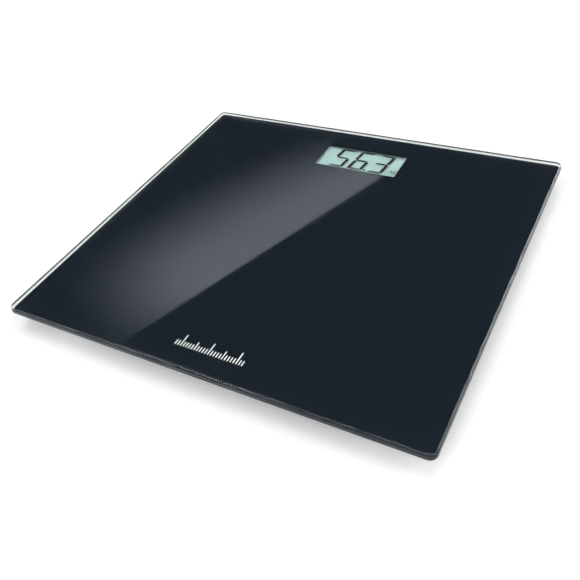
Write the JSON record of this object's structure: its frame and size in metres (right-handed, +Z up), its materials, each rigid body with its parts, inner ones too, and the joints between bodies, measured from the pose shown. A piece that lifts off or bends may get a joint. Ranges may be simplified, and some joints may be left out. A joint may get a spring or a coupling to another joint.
{
  "type": "digital bathroom scale",
  "caption": "Low rectangular glass platform, printed black on its underside, with a segment display seen through a window and four sprung feet on load cells below.",
  "frame": {"origin": "on the floor, under the middle of the platform", "axes": "+X to the right of the person standing on it, +Y away from that person towards the display, +Z up"},
  "size_m": [0.3, 0.275, 0.022],
  "materials": {
    "tempered_glass": "clear, polished, ground edges",
    "black_print": "blue-black ceramic ink fired on the glass",
    "white_print": "white ink seen through the glass",
    "foam_tape": "double-sided foam tape",
    "foam_gasket": "soft closed-cell foam",
    "zinc_screws": "bright zinc plate",
    "gauge_foil": "amber film over metal foil",
    "white_sealant": "soft silicone",
    "red_insulation": "red PVC insulation",
    "white_insulation": "white PVC insulation",
    "black_insulation": "black PVC insulation",
    "solder": "bright solder",
    "housing_plastic": "light grey ABS with a fine spark texture",
    "holder_plastic": "white ABS",
    "pod_plastic": "light grey ABS with a fine spark texture",
    "foot_plastic": "light grey ABS",
    "duct_plastic": "light grey extruded plastic",
    "pad_rubber": "dark grey soft rubber",
    "load_cell_steel": "stamped spring steel, nickel plated",
    "board_green": "green solder mask",
    "black_epoxy": "cured black epoxy",
    "component_grey": "ceramic and moulded bodies",
    "polarizer_film": "clear polarizing film",
    "display_glass": "thin clear glass",
    "display_seal": "cured edge seal",
    "segment_dark": "darkened liquid crystal",
    "reflector_film": "grey-green reflective film",
    "contact_rubber": "layered conductive rubber",
    "battery_steel": "nickel-plated steel",
    "contact_spring": "nickel-plated phosphor bronze",
    "button_plastic": "dark grey ABS",
    "switch_black": "black moulded switch",
    "switch_plunger": "red moulded plunger"
  },
  "bodies": {
    "platform": {"glass_platform": "tempered_glass", "back_print": "black_print", "printed_mark": "white_print", "pod_tapes": "foam_tape", "duct_tapes": "foam_tape", "housing_tape": "foam_tape", "window_gasket": "foam_gasket", "load_cell_screws": "zinc_screws", "cover_screws": "zinc_screws", "circuit_board_screws": "zinc_screws", "strain_gauges": "gauge_foil", "gauge_sealant": "white_sealant", "red_wires": "red_insulation", "white_wires": "white_insulation", "black_wires": "black_insulation", "solder_joints": "solder", "display_housing": "housing_plastic", "housing_cover": "housing_plastic", "circuit_board": "board_green", "controller_chip": "black_epoxy", "board_components": "component_grey", "lcd_holder": "holder_plastic", "lcd_polarizer": "polarizer_film", "lcd_front_glass": "display_glass", "lcd_rear_glass": "display_glass", "lcd_seal": "display_seal", "lcd_segments": "segment_dark", "lcd_reflector": "reflector_film", "zebra_strip": "contact_rubber", "battery": "battery_steel", "battery_contact_plus": "contact_spring", "battery_contact_minus": "contact_spring", "unit_switch_body": "switch_black", "foot_pod_front_left": "pod_plastic", "retaining_ring_front_left": "pod_plastic", "load_cell_front_left": "load_cell_steel", "wire_duct_front_left": "duct_plastic", "foot_pod_front_right": "pod_plastic", "retaining_ring_front_right": "pod_plastic", "load_cell_front_right": "load_cell_steel", "wire_duct_front_right": "duct_plastic", "foot_pod_rear_left": "pod_plastic", "retaining_ring_rear_left": "pod_plastic", "load_cell_rear_left": "load_cell_steel", "wire_duct_rear_left": "duct_plastic", "foot_pod_rear_right": "pod_plastic", "retaining_ring_rear_right": "pod_plastic", "load_cell_rear_right": "load_cell_steel", "wire_duct_rear_right": "duct_plastic"},
    "foot_front_left": {"foot_cap_front_left": "foot_plastic", "foot_pad_front_left": "pad_rubber"},
    "foot_front_right": {"foot_cap_front_right": "foot_plastic", "foot_pad_front_right": "pad_rubber"},
    "foot_rear_left": {"foot_cap_rear_left": "foot_plastic", "foot_pad_rear_left": "pad_rubber"},
    "foot_rear_right": {"foot_cap_rear_right": "foot_plastic", "foot_pad_rear_right": "pad_rubber"},
    "battery_door": {"battery_door": "housing_plastic"},
    "unit_button": {"unit_button": "button_plastic", "unit_switch_plunger": "switch_plunger"}
  },
  "joints": [
    {"name": "foot_press_front_left", "type": "slide", "parent": "platform", "child": "foot_front_left", "axis": [0, 0, 1], "range_m": [0, 0.0005], "stiffness_N_per_m": 5000, "springref_m": -0.001, "deforming": ["load_cell_front_left"]},
    {"name": "foot_press_front_right", "type": "slide", "parent": "platform", "child": "foot_front_right", "axis": [0, 0, 1], "range_m": [0, 0.0005], "stiffness_N_per_m": 5000, "springref_m": -0.001, "deforming": ["load_cell_front_right"]},
    {"name": "foot_press_rear_left", "type": "slide", "parent": "platform", "child": "foot_rear_left", "axis": [0, 0, 1], "range_m": [0, 0.0005], "stiffness_N_per_m": 5000, "springref_m": -0.001, "deforming": ["load_cell_rear_left"]},
    {"name": "foot_press_rear_right", "type": "slide", "parent": "platform", "child": "foot_rear_right", "axis": [0, 0, 1], "range_m": [0, 0.0005], "stiffness_N_per_m": 5000, "springref_m": -0.001, "deforming": ["load_cell_rear_right"]},
    {"name": "battery_door_swing", "type": "hinge", "parent": "platform", "child": "battery_door", "pos_m": [-0.0412, 0.098, 0.0036], "axis": [0, 1, 0], "range_deg": [0, 80]},
    {"name": "unit_button_press", "type": "slide", "parent": "platform", "child": "unit_button", "axis": [0, 0, 1], "range_m": [0, 0.0005], "stiffness_N_per_m": 3000}
  ]
}
